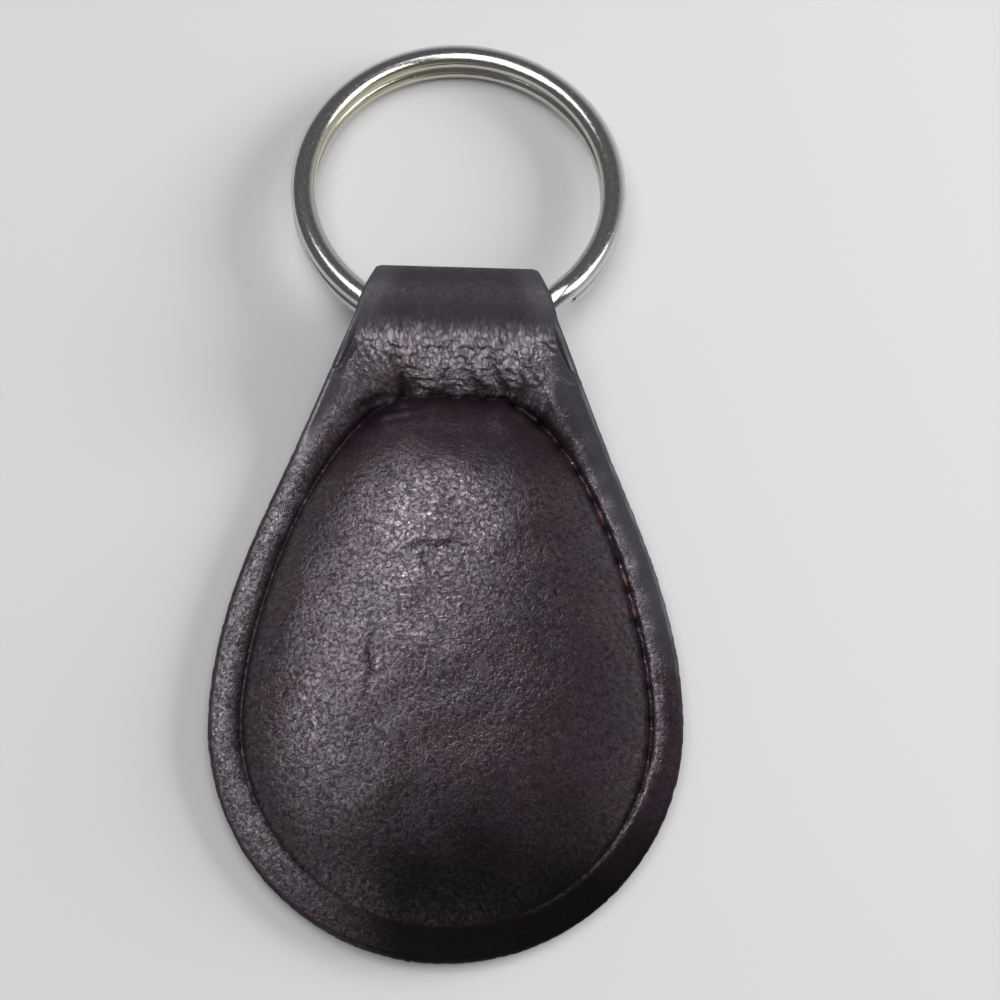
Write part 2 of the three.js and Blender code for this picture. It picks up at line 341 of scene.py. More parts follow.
def fold_section():
    """Places and outward directions of the sheet's rows over the neck: slope, fold and back."""
    fold_centre = np.array([FOLD_Y, FOLD_Z])
    foot = np.array([PATCH_TOP_Y, RIM_TOP])
    foot_way, bend_way = unit_way(FOOT_CLIMB), unit_way(BEND_CLIMB)
    top = fold_centre + FOLD_RADIUS * unit_way(FOLD_LEAVES_AT)
    top_way = unit_way(FOLD_LEAVES_AT + 90)
    wall_share = np.linspace(0, 1, WALL_ROWS + 1)
    wall = bezier([foot, foot + WALL_HANDLE * foot_way, BEND - WALL_HANDLE * bend_way, BEND], wall_share)
    brow_share = np.linspace(0, 1, SLOPE_ROWS - WALL_ROWS + 1)[1:]
    brow = bezier([BEND, BEND + BROW_HANDLE * bend_way, top + FOLD_HANDLE * top_way, top], brow_share)
    turn = np.linspace(math.radians(FOLD_LEAVES_AT), -math.pi / 2, FOLD_ROWS + 1)[1:]
    fold = fold_centre + FOLD_RADIUS * np.c_[np.cos(turn), np.sin(turn)]
    back_y = np.linspace(FOLD_Y, PATCH_TOP_Y, BACK_NECK_ROWS + 1)[1:]
    back = np.c_[back_y, np.zeros(len(back_y))]
    places = np.vstack([wall, brow, fold, back])
    out = square_left(places)
    out[SLOPE_ROWS + FOLD_ROWS :] = (0.0, -1.0)
    return places, out


SECTION, SECTION_OUT = fold_section()
SECTION_STEPS = np.arange(len(SECTION))
SECTION_LENGTH = length_along(SECTION)
SLOPE_LENGTH = np.r_[SECTION_LENGTH, SECTION_LENGTH[-1] + np.arange(1, BACK_ROWS + 1)]


def ramp_section():
    """The same rows at the sides of the neck, where the front climbs to the fold without a step."""
    foot = np.array([PATCH_TOP_Y, RIM_TOP + SIDE_RISE])
    top = SECTION[SLOPE_ROWS]
    top_way = SECTION[SLOPE_ROWS - 1] - top
    top_way = top_way / np.hypot(*top_way)
    handles = [foot + RAMP_HANDLE * unit_way(RAMP_CLIMB), top + RAMP_HANDLE * top_way]
    places = SECTION.copy()
    places[: SLOPE_ROWS + 1] = bezier([foot, *handles, top], np.linspace(0, 1, SLOPE_ROWS + 1))
    out = square_left(places)
    out[SLOPE_ROWS + 1 :] = SECTION_OUT[SLOPE_ROWS + 1 :]
    return places, out


RAMP, RAMP_OUT = ramp_section()

# The ring's way round the fold: where its wire passes the leather, and the degrees it never reaches.
WIRE_CORNER = 0.5
RING_CLEARANCE = 0.25
MOUTH_X = (8.6, 13.0)
BESIDE_LOOP_X = 8.4
STOP_FROM = (183, 193)
STOP_TO = (200, 208)
UNDER_SPARE = 0.12


def ring_sweep(x):
    """How far from the fold's axis the swinging ring reaches at each distance from the middle."""
    inner = RING_RADIUS - WIRE_WIDTH
    reach = PIVOT_RADIUS - np.sqrt(inner**2 - np.clip(np.abs(x), *MOUTH_X) ** 2)
    high = STACK_HEIGHT / 2
    corner = np.maximum(np.hypot(reach, high - WIRE_CORNER), np.hypot(reach - WIRE_CORNER, high))
    return corner + RING_CLEARANCE


def clear_of_ring(x, y, z, spare):
    """Pushes places away from the fold's axis, out of the ring's way at the mouths of the loop."""
    from_y, from_z = y - FOLD_Y, z - FOLD_Z
    reach = np.hypot(from_y, from_z)
    turn = np.degrees(np.arctan2(from_z, from_y)) % 360
    swept = 1 - smooth(*STOP_FROM, turn) * (1 - smooth(*STOP_TO, turn))
    beside = np.abs(x) + EDGE_ROUND
    need = np.where(beside > BESIDE_LOOP_X, ring_sweep(beside) + spare, 0.0)
    short = np.maximum(need - reach, 0) * swept
    grow = 1 + short / np.maximum(reach, 1e-6)
    return FOLD_Y + from_y * grow, FOLD_Z + from_z * grow


def top_spare(step):
    """Room left between the swinging ring and the grain side, on the neck's rows from its foot up."""
    return 0.05 + 0.40 * smooth(0, 18, step)


def section_half_widths():
    """Half widths of the neck's rows, with sides that look straight from the camera."""
    up_the_picture = np.array([0.951, 0.309])
    y = SECTION[:, 0]
    lean = (half_width(y + 0.05) - half_width(y - 0.05)) / 0.1
    reach = half_width(y) - EDGE_ROUND * np.sqrt(1 + np.clip(lean, -0.6, 0.6) ** 2)
    waist = 0.22 * smooth(PATCH_TOP_Y, 34.5, y) * smooth(LOOP_END_Y, 37.0, y)
    reach = reach - waist - 0.42 * smooth(37.5, 42.0, y)
    climb = slice(0, SLOPE_ROWS + 1)
    spare = top_spare(np.arange(SLOPE_ROWS + 1))
    low, high = reach[0], reach[SLOPE_ROWS]
    for _ in range(8):
        moved = np.c_[clear_of_ring(reach[climb], *RAMP[climb].T, spare)]
        seen = moved @ up_the_picture
        share = (seen - seen[0]) / (seen[-1] - seen[0])
        reach[climb] = low + (high - low) * share - 0.30 * share * (1 - share) ** 2
    return reach


SECTION_HALF = section_half_widths()


def patch_side():
    """The right side of a face, drawn in by the edge's rounding, with its outward directions."""
    outward = -square_left(EDGE)
    inset = EDGE - EDGE_ROUND * outward
    turn = np.arctan2(EDGE[:, 1], EDGE[:, 0])
    first_turn = PATCH_CORNER - math.pi / 2
    kept = (turn > first_turn) & (inset[:, 1] < PATCH_TOP_Y)
    last_x = np.interp(PATCH_TOP_Y, inset[turn > 0][:, 1], inset[turn > 0][:, 0])
    first_out = np.array([math.cos(first_turn), math.sin(first_turn)])
    line = np.vstack([first_out * (END_RADIUS - EDGE_ROUND), inset[kept], [last_x, PATCH_TOP_Y]])
    outs = np.vstack([first_out, outward[kept], outward[kept][-1]])
    length = length_along(line)
    return line, outs, length / length[-1]


SIDE, SIDE_OUT, SIDE_SHARE = patch_side()


def face_up(row):
    """How far up its face a row lies, from 0 at the round end to 1 at the neck."""
    up = np.where(row <= FRONT_ROWS, row / FRONT_ROWS, (ROWS - row) / BACK_ROWS)
    return closer_at_ends(np.clip(up, 0, 1))


def face_plan(across, up):
    """Plan of one face: across and up run from 0 to 1, and its four sides follow the outline."""
    side_x = np.interp(up, SIDE_SHARE, SIDE[:, 0])
    side_y = np.interp(up, SIDE_SHARE, SIDE[:, 1])
    turn = (2 * across - 1) * PATCH_CORNER - math.pi / 2
    radius = END_RADIUS - EDGE_ROUND
    low_x, low_y = radius * np.cos(turn), radius * np.sin(turn)
    even = 2 * across - 1
    x = even * side_x + (1 - up) * (low_x - even * SIDE[0, 0])
    y = side_y + (1 - up) * (low_y - SIDE[0, 1])
    return x, y


def sheet_plan(u, row):
    """Place and outward direction (in Y and Z) of the bare folded sheet at a column and a row."""
    across = closer_at_ends((u + 1) / 2)
    front = row <= FRONT_ROWS
    strip = ~front & (row < ROWS - BACK_ROWS)
    x, y = face_plan(across, face_up(row))
    z = np.where(front, RIM_TOP, 0.0)
    out_y = np.zeros(len(u))
    out_z = np.where(front, 1.0, -1.0)
    step = row[strip] - FRONT_ROWS
    x[strip] = (2 * across[strip] - 1) * np.interp(step, SECTION_STEPS, SECTION_HALF)
    side = neck_side(x[strip])

    def at_step(middle, beside, column):
        here, there = (np.interp(step, SECTION_STEPS, table[:, column]) for table in (middle, beside))
        return here * (1 - side) + there * side

    y[strip] = at_step(SECTION, RAMP, 0)
    z[strip] = at_step(SECTION, RAMP, 1)
    strip_out = np.c_[at_step(SECTION_OUT, RAMP_OUT, 0), at_step(SECTION_OUT, RAMP_OUT, 1)]
    out_y[strip], out_z[strip] = (strip_out / np.hypot(*strip_out.T)[:, None]).T
    return x, y, z, out_y, out_z, front, strip


CREASES = [
    # points, depth, width
    ([(-3.7, 14.1), (-2.4, 14.8), (-1.5, 14.4), (-0.2, 14.8), (1.8, 14.5)], 0.17, 0.28),
    ([(-2.2, 14.6), (-2.4, 13.2), (-1.9, 11.8)], 0.20, 0.24),
    ([(-6.6, 6.6), (-7.0, 4.6), (-6.7, 2.8), (-7.2, 0.9)], 0.24, 0.26),
    ([(-9.0, 9.4), (-9.3, 8.0)], 0.07, 0.25),
    ([(5.9, 30.3), (4.6, 31.5), (3.1, 32.9)], 0.22, 0.30),
    ([(3.3, 30.7), (1.9, 31.7), (0.7, 32.5)], 0.15, 0.30),
    ([(-4.6, 30.7), (-6.4, 30.4), (-9.0, 28.9)], 0.30, 0.34),
    ([(-9.4, 28.2), (-6.6, 28.6), (-3.0, 29.2)], 0.16, 0.40),
    ([(-9.0, 27.0), (-5.8, 27.7), (-2.6, 28.3)], 0.10, 0.45),
    ([(6.2, 30.0), (7.4, 28.4), (8.6, 27.4)], 0.26, 0.34),
    ([(-8.6, 34.6), (-9.6, 33.0), (-10.4, 31.8)], 0.16, 0.30),
    ([(-6.0, 33.6), (-5.0, 32.2), (-4.5, 30.9)], 0.20, 0.40),
]
PITS = [
    # x, y, depth, width
    (-4.6, 30.9, 0.6, 0.8),
    (6.0, 30.4, 0.7, 0.7),
]
WORN_SPOTS = [
    # x, y, size, amount
    (-15.6, 17.6, 0.9, 0.8),
    (-17.6, 13.1, 1.0, 0.9),
    (-17.9, 11.4, 0.8, 0.7),
    (-13.9, 20.3, 0.8, 0.5),
    (-19.4, 4.0, 1.0, 0.4),
    (14.7, 22.3, 0.7, 0.6),
]


def crease_depth(x, y):
    """The sum of the worn-in creases, each deepest at its middle."""
    total = np.zeros(len(x))
    for points, depth, width in CREASES:
        line = np.array(points)
        near = (np.abs(x - line[:, 0].mean()) < 8) & (np.abs(y - line[:, 1].mean()) < 8)
        gap, reached = along_line(line, x[near], y[near])
        taper = 0.35 + 0.65 * np.sin(math.pi * np.clip(reached / length_along(line)[-1], 0, 1))
        total[near] += depth * taper * hump(gap, width)
    return total


CLIMB_FROM_Y = 19.0
CLIMB_LENGTH = PATCH_TOP_Y - CLIMB_FROM_Y


def side_lift(sheet):
    """The front layer's gentle climb to the fold, outside the seam along both sides of the neck."""
    climb = np.clip((sheet.y - CLIMB_FROM_Y) / CLIMB_LENGTH, 0, 1) ** 2
    return SIDE_RISE * neck_side(sheet.x) * climb * sheet.front * smooth(-0.6, 1.6, sheet.gap)


def side_lean(x, y):
    """How far that climb leans the leather's thickness back, as the sine of its angle."""
    rise = 2 * SIDE_RISE / CLIMB_LENGTH * np.clip((y - CLIMB_FROM_Y) / CLIMB_LENGTH, 0, 1)
    rise = rise * neck_side(x)
    return rise / np.sqrt(1 + rise**2)


def off_seam(x, y, seam_gap, share):
    """Distance from the seam, below 0 inside it; the seam wavers at its top."""
    wave = 0.40 * ripple(x * 0.42, 0, 71) + 0.20 * ripple(x * 1.1, 0, 73)
    return np.where(share < 1, -seam_gap, seam_gap) + smooth(27, 30, y) * wave


class Sheet:
    """The bare folded sheet at each of the cover's points, and how the seam and the slope lie there."""

    def __init__(self, piece):
        self.u, self.row, self.edge_row = (read_layer(piece, name) for name in ("u", "row", "edge_row"))
        plan = sheet_plan(self.u, self.row)
        self.x, self.y, self.z, self.out_y, self.out_z, self.front, self.strip = plan
        self.seam_gap, seam_reached = along_line(CLOSED_SEAM, self.x, self.y)
        self.share = dome_share(self.x, self.y)
        self.gap = off_seam(self.x, self.y, self.seam_gap, self.share)
        stitch = seam_reached / PITCH
        self.stitch_number = np.round(stitch).astype(int) % STITCHES
        self.stitch_phase = stitch - np.round(stitch)
        self.from_hole = self.stitch_phase * PITCH
        self.along = np.interp(self.row, np.arange(FRONT_ROWS, ROWS + 1), SLOPE_LENGTH)
        self.fronted = self.front | (self.strip & (self.row < SLOPE_END + FOLD_ROWS * 0.4))
        self.upper = smooth(23, 29.5, self.y)
        self.bottom = smooth(-2, -13, self.y)


def dome_relief(sheet):
    x, y, share = sheet.x, sheet.y, sheet.share
    dome = (CROWN_TOP - RIM_TOP) * crown(share)
    dome = dome + 0.16 * ripple(x / 8.0, y / 8.0, 3) * smooth(1.0, 0.75, share)
    return dome + 0.07 * ripple(x / 3.1, y / 3.1, 5) * smooth(1.0, 0.85, share)


def rim_relief(sheet):
    """The rim outside the seam: rolled over at the sides, falling away at the round end."""
    x, y, gap, bottom = sheet.x, sheet.y, sheet.gap, sheet.bottom
    outer_share = np.clip(gap / SEAM_INSET, 0, 1.2)
    swell = 0.21 * (1 - bottom) * np.sin(math.pi * np.clip(outer_share, 0, 1)) ** 0.8
    rolled = swell - (0.35 + 0.45 * smooth(4, -12, y)) * outer_share**2.2
    falling = 0.06 * smooth(-0.8, 0.2, gap) - 1.0 * outer_share**1.3
    rim = (rolled * (1 - bottom) + falling * bottom) * (1 - sheet.upper)
    return rim + 0.07 * ripple(x / 2.2, y / 2.2, 7) * smooth(0.2, 1.2, gap)


def seam_relief(sheet):
    """The groove that the thread pulls, its stitch holes and the puckers between them."""
    x, gap, upper, bottom = sheet.x, sheet.gap, sheet.upper, sheet.bottom
    uneven = ripple(sheet.stitch_number * 0.73, 0, 11)
    shown = (0.3 + 0.5 * smooth(-2, 9, x)) * (1 - bottom * (0.9 - 0.5 * smooth(4, 9, x)))
    groove = -shown * (0.40 + 0.14 * uneven + 0.25 * upper) * hump(gap, 0.30)
    groove = groove - 0.14 * (1 - bottom) * hump(gap, 0.95)
    hole = -shown * (0.26 + 0.3 * upper) * hump(np.hypot(gap, sheet.from_hole), 0.42)
    swell = (0.05 + 0.18 * upper) * (0.7 + 0.6 * uneven) * np.cos(2 * math.pi * sheet.stitch_phase)
    pucker = -swell * np.exp(-np.abs(gap) / 1.3) * smooth(0.1, 0.6, np.abs(gap))
    return groove + hole + pucker


def slope_wrinkles(sheet):
    """Wrinkles between the dome and the fold: broken low down, drawn out under the fold."""
    x, along = sheet.x, sheet.along
    on_slope = smooth(FRONT_ROWS - 4, FRONT_ROWS + 4, sheet.row) * (1 - smooth(6.6, 8.6, along))
    stretched = ripple(x * 1.25 + 0.5 * ripple(x / 2, along / 2, 2), along * 0.42, 17)
    broken = ripple(x * 1.05 + 0.35 * along, along * 0.9, 19)
    fine = ripple(x * 2.1, along * 1.7, 23)
    wrinkles = 0.22 * np.abs(broken) + 0.11 * np.abs(fine) - 0.10
    high = smooth(4.6, 6.4, along)
    wrinkles = wrinkles * (1 - high) + 0.16 * (np.abs(stretched) - 0.3) * high
    return on_slope * wrinkles * (1 - 0.8 * smooth(7.5, 9.8, np.abs(x)))


def front_relief(sheet):
    """How far the front's grain side stands off the bare sheet."""
    relief = dome_relief(sheet) + rim_relief(sheet) + seam_relief(sheet) + slope_wrinkles(sheet)
    for pit_x, pit_y, depth, width in PITS:
        relief = relief - depth * hump(np.hypot(sheet.x - pit_x, sheet.y - pit_y), width)
    return relief - crease_depth(sheet.x, sheet.y)


def back_relief(sheet):
    """The seam's groove and holes on the flat back; the fold and the back of the neck are plain."""
    hole = hump(np.hypot(sheet.seam_gap, sheet.from_hole), 0.5)
    return np.where(sheet.strip, 0.0, -0.55 * hump(sheet.seam_gap, 0.36) - 0.3 * hole)


def grain_side(sheet):
    """The leather's outer surface, in Y and Z, and how far the climb to the fold has lifted it."""
    relief = np.where(sheet.fronted, front_relief(sheet), back_relief(sheet))
    lift = side_lift(sheet)
    y = sheet.y + sheet.out_y * relief
    z = sheet.z + sheet.out_z * relief + lift
    clear_y, clear_z = clear_of_ring(sheet.x, y, z, top_spare(sheet.row - FRONT_ROWS))
    return np.where(sheet.strip, clear_y, y), np.where(sheet.strip, clear_z, z), lift


def flesh_side(sheet, lift):
    """The leather's inner surface: hollow under the dome, pared at the sides of the loop's mouths."""
    x, y = sheet.x, sheet.y
    lean = np.where(sheet.front, side_lean(x, y), 0.0)
    pared = 0.75 * smooth(6.5, 9.6, np.abs(x)) * smooth(22, PATCH_TOP_Y, y) * sheet.fronted
    paring_ends = FRONT_ROWS + 0.7 * SLOPE_ROWS, SLOPE_END + 0.3 * FOLD_ROWS
    pared = pared * (1 - smooth(*paring_ends, sheet.row))
    under_y = y - (sheet.out_y - lean) * (LEATHER - pared)
    under_z = sheet.z - sheet.out_z * (LEATHER - pared)
    hollow_rise = CROWN_TOP - LEATHER - FRONT_UNDERSIDE
    hollow = FRONT_UNDERSIDE + hollow_rise * crown(dome_share(x, y, LEATHER))
    under_z = np.where(sheet.front, hollow + pared, under_z) + lift
    clear_y, clear_z = clear_of_ring(x, under_y, under_z, UNDER_SPARE)
    return np.where(sheet.strip, clear_y, under_y), np.where(sheet.strip, clear_z, under_z)


def edge_way(sheet):
    """The outward direction, in X and Y, of the cut edge beside each place."""
    row, up = sheet.row, face_up(sheet.row)
    neck_y = SIDE_OUT[-1, 1] * (1 - smooth(FRONT_ROWS, SLOPE_END, row))
    side_x = np.where(sheet.strip, np.sqrt(1 - neck_y**2), np.interp(up, SIDE_SHARE, SIDE_OUT[:, 0]))
    side_y = np.where(sheet.strip, neck_y, np.interp(up, SIDE_SHARE, SIDE_OUT[:, 1]))
    at_round_end = (row < 0.01) | (row > ROWS - 0.01)
    radius = np.maximum(np.hypot(sheet.x, sheet.y), 1e-6)
    out_x = np.where(at_round_end, sheet.x / radius, np.sign(sheet.u) * side_x)
    return out_x, np.where(at_round_end, sheet.y / radius, side_y)


def edge_unevenness(sheet):
    """How the cut edge wavers, with a few nibs at the round end."""
    x, y = sheet.x, sheet.y
    rough = 0.05 * ripple(x * 1.3, y * 1.3, 29) + 0.03 * ripple(x * 3.1, y * 3.1, 31)
    nibs = 0.14 * smooth(0.35, 0.9, ripple(x * 1.1, y * 1.1, 37)) * smooth(-6, -14, y)
    return (rough + nibs) * smooth(30, 24, y) * ~sheet.strip


# The edge's rows: the grain side's border, three round it, two down the cut, then the flesh side.
EDGE_TURNS = np.radians([0, 30, 60, 90, 90, 90, 0])
LAST_ROUND_ROW = 3
CUT_ROW = 4
FLESH_ROW = 6


def cover_places(sheet):
    """Every point's place: on the grain side, round the cut edge or on the flesh side."""
    top_y, top_z, lift = grain_side(sheet)
    under_y, under_z = flesh_side(sheet, lift)
    out_x, out_y = edge_way(sheet)
    edge_row = np.round(sheet.edge_row).astype(int)
    turn = EDGE_TURNS[edge_row]
    thick = np.hypot(top_y - under_y, top_z - under_z)
    down_y, down_z = (under_y - top_y) / thick, (under_z - top_z) / thick
    bevel = np.minimum(EDGE_ROUND, 0.42 * thick)
    reach = EDGE_ROUND + edge_unevenness(sheet)
    rounded = edge_row <= LAST_ROUND_ROW
    at_cut = edge_row == CUT_ROW
    sink = np.where(rounded, bevel * (1 - np.cos(turn)), thick - np.where(at_cut, 0.14, 0.02))
    spread = np.where(rounded, reach * np.sin(turn), reach - np.where(at_cut, 0.0, 0.12))
    places = np.c_[
        sheet.x + out_x * spread,
        top_y + out_y * spread + down_y * sink,
        top_z + down_z * sink,
    ]
    inside = edge_row == FLESH_ROW
    places[inside] = np.c_[sheet.x, under_y, under_z][inside]
    return places


def pressed_sides(sheet, fold_band):
    """Smooth, pressed leather along the right rim and both sides of the neck; its lighter grey tint is
    partly painted sheen.
    """
    x, y, front = sheet.x, sheet.y, sheet.front
    outline = np.vstack([EDGE, EDGE[::-1] * np.array([-1.0, 1.0])])
    neck_half = np.interp(sheet.row - FRONT_ROWS, SECTION_STEPS, SECTION_HALF) + EDGE_ROUND
    from_edge = np.where(sheet.strip, neck_half - np.abs(x), 0)
    from_edge[front] = along_line(outline, x[front], y[front])[0]
    right_rim = smooth(3.0, 1.2, from_edge + 0.5 * ripple(x, y, 61)) * smooth(5, 10, x) * smooth(2, 12, y)
    neck = smooth(1.9 + 1.6 * fold_band, 0.9, from_edge) * smooth(21, 27, y)
    return np.maximum(right_rim, neck)


def worn_spots(sheet):
    wear_and_sheen = np.zeros(len(sheet.x))
    for spot_x, spot_y, size, amount in WORN_SPOTS:
        wear_and_sheen = np.maximum(wear_and_sheen, amount * hump(np.hypot(sheet.x - spot_x, sheet.y - spot_y), size))
    return wear_and_sheen * sheet.front * (sheet.edge_row < 2.5)


def painted_bevel_glint(sheet, fold_band):
    """Painted highlight: the pale line where light catches the right edge's rounding, in uneven patches."""
    x, y = sheet.x, sheet.y
    line = hump(sheet.edge_row - 0.9, 0.7) * (sheet.edge_row > 0.05) * smooth(6, 9, x) * smooth(-2, 12, y)
    glint_patches = 0.35 + 0.65 * smooth(-0.2, 0.5, ripple(y / 2.3, x / 9, 67))
    return line * sheet.fronted * glint_patches * (1 - 0.8 * fold_band)


def painted_seam_shade(sheet):
    """Painted shade: the dark line in the seam's groove and along the creases."""
    between = 1 - hump(sheet.from_hole, 0.8)
    seam = hump(sheet.gap, 0.30) * sheet.fronted * (0.75 - 0.40 * between * smooth(-2, 9, sheet.x))
    creases = np.clip(crease_depth(sheet.x, sheet.y) / 0.2, 0, 1) * sheet.fronted
    return np.maximum(seam, 0.75 * creases) * (sheet.edge_row < 0.5)


def leather_layers(sheet):
    """Where the leather is folded, wrinkled, pressed, smudged or marked by wear, and where shade, highlight
    and sheen are painted into its colour and shine, by layer name.
    """
    x, y, row, gap, along = sheet.x, sheet.y, sheet.row, sheet.gap, sheet.along
    reached = along + 0.9 * ripple(x * 0.8, 0, 59) + 0.5 * ripple(x * 2.4, 0, 60)
    fold_band = smooth(5.2, 8.8, reached) * sheet.strip
    pressed = pressed_sides(sheet, fold_band)
    rim = smooth(0.3, 1.0, gap) * smooth(30, 24, y) * sheet.front
    # Painted highlight: the left rim made lighter for the light from the left.
    left_rim = rim * smooth(2, -8, x) * smooth(-16, -6, y) * smooth(30, 22, y)
    calm = 0.6 * smooth(20, 26, y) * smooth(0.2, -0.6, gap) * sheet.front
    # The slope's wrinkle ridges; in colour they also carry a pale painted sheen.
    ridge = smooth(24, 31, y) * smooth(0.0, 0.8, gap) * (row < SLOPE_END + 8) * (sheet.edge_row < 1.5)
    ridge = ridge * (1 - smooth(5.6, 8.4, along)) * smooth(11.5, 8.0, x)
    smudge = hump(np.hypot((x + 4.9) / 1.5, (along - 2.6) / 2.2), 1.0)
    smudge = smudge * (row > FRONT_ROWS - 6) * (row < SLOPE_END + 6)
    shaded = 0.97 * smooth(-3, -15.5, y + 1.5 * ripple(x / 5, y / 5, 79)) * smooth(-15, -3, x)
    shaded = shaded * (row < FRONT_ROWS)
    # Painted shade just inside the top of the seam, under the slope's foot: its shine is cut.
    brow = 0.93 * smooth(-2.2, -0.6, gap) * smooth(0.8, 0.2, gap) * smooth(25, 28.5, y) * sheet.front
    grain = 1 - most(0.85 * fold_band, 0.9 * pressed, calm, 0.25 * rim * (x > 0))
    pleat = hump(along - 6.4, 1.8) * (row > FRONT_ROWS) * (row < SLOPE_END + FOLD_ROWS // 2)
    return {
        "fold_band": fold_band,
        "pressed": pressed * sheet.fronted,
        "pebble": np.where(sheet.edge_row > 0.5, 0.25, grain),
        "cut_edge": smooth(1.5, 3.0, sheet.edge_row),
        # painted highlight along the right edge's rounding
        "painted_bevel_highlight": painted_bevel_glint(sheet, fold_band),
        # Real wear spots, plus painted highlight on the left rim and painted sheen on the slope's ridges.
        "wear_and_sheen": most(worn_spots(sheet), 0.35 * left_rim, ridge),
        "wrinkled": ridge,
        "smudge": smudge,
        "pleat": 3.0 * pleat,
        # painted shade in the seam's groove and the creases
        "seam_and_crease_shade": painted_seam_shade(sheet),
        "shaded_end": shaded,
        # Shine cut: painted shade at the shaded end and under the brow; less shine on the calm top of the
        # dome and on the smudge.
        "dull_and_shade": most(shaded, brow, 0.6 * calm, 0.45 * smudge),
    }


def cover_mesh():
    """An outer grid, a rounded cut edge drawn from its border, and a coarser grid inside."""
    bm = bmesh.new()
    for name in ("u", "row", "edge_row"):
        bm.verts.layers.float.new(name)
    u_layer, row_layer, edge_layer = (bm.verts.layers.float[name] for name in ("u", "row", "edge_row"))

    def grid(columns, rows, edge_row):
        verts = bmesh.ops.create_grid(bm, x_segments=columns, y_segments=rows, size=1.0)["verts"]
        for vert in verts:
            vert[u_layer] = vert.co.x
            vert[row_layer] = (vert.co.y + 1) / 2 * ROWS
            vert[edge_layer] = edge_row
        return verts

    grid(COLUMNS, ROWS, 0)
    border = [edge for edge in bm.edges if edge.is_boundary]
    # Until cover_places gives every point its place, the rows are only kept apart.
    for edge_row in range(1, FLESH_ROW):
        points, border = drawn_out(bm, border)
        for vert in points:
            vert[edge_layer] = edge_row
            wider = 1 + 0.01 * edge_row
            vert.co = (vert[u_layer] * wider, (vert[row_layer] / ROWS * 2 - 1) * wider, -0.01 * edge_row)
    inside = set(grid(COLUMNS // 2, ROWS // 2, FLESH_ROW))
    for vert in inside:
        vert.co.z = -0.08
    bmesh.ops.reverse_faces(bm, faces=[face for face in bm.faces if face.verts[0] in inside])
    inner_border = [edge for edge in bm.edges if edge.is_boundary and edge.verts[0] in inside]
    bmesh.ops.bridge_loops(bm, edges=border + inner_border)
    bmesh.ops.recalc_face_normals(bm, faces=bm.faces)
    return link_mesh("leather_cover", bm)


def leather_cover():
    piece = cover_mesh()
    sheet = Sheet(piece)
    set_places(piece, cover_places(sheet))
    for name, values in leather_layers(sheet).items():
        write_layer(piece, name, values)
    drawn = sheet.along - 0.58 * np.clip(sheet.along - 2.6, 0, 6.0)
    up_the_sheet = np.where(sheet.front, sheet.y, PATCH_TOP_Y + drawn)
    flat = np.c_[sheet.x, up_the_sheet, 0.4 * sheet.edge_row]
    stored = piece.data.attributes.new("sheet", "FLOAT_VECTOR", "POINT")
    stored.data.foreach_set("vector", flat.astype(np.float32).ravel())
    return piece


def long_tube(name, sides, steps, closed):
    """A tube of drawn-out circles, whose points know their step and their turn round the section."""
    bm = bmesh.new()
    for layer_name in ("around", "step"):
        bm.verts.layers.float.new(layer_name)
    around_layer, step_layer = (bm.verts.layers.float[kind] for kind in ("around", "step"))
    for vert in bmesh.ops.create_circle(bm, segments=sides, radius=1.0)["verts"]:
        vert[around_layer] = math.atan2(vert.co.y, vert.co.x)
    first = edges = list(bm.edges)
    for step in range(1, steps + 1):
        points, edges = drawn_out(bm, edges)
        for vert in points:
            vert.co.z = float(step)
            vert[step_layer] = step
    if closed:
        bmesh.ops.bridge_loops(bm, edges=first + edges)
    else:
        bmesh.ops.contextual_create(bm, geom=first)
        bmesh.ops.contextual_create(bm, geom=edges)
    bmesh.ops.recalc_face_normals(bm, faces=bm.faces)
    return link_mesh(name, bm)


# The threads: two plies that dive into the leather at each hole, with a few stitches in faded red.
THREAD_RADIUS = 0.24
PLY_LENGTH = 1.6
STEPS_A_STITCH = 18
DIVE = 0.7
SHOWN_STITCHES = [
    # x, y, amount
    (7.4, 27.8, 1.0),
    (8.8, 26.0, 0.6),
    (12.3, 21.7, 0.7),
    (13.7, 19.4, 0.8),
    (15.8, 13.4, 1.0),
    (17.0, 10.4, 0.9),
    (18.0, 4.0, 0.4),
    (11.3, -14.0, 0.5),
    (8.9, -16.0, 0.5),
]


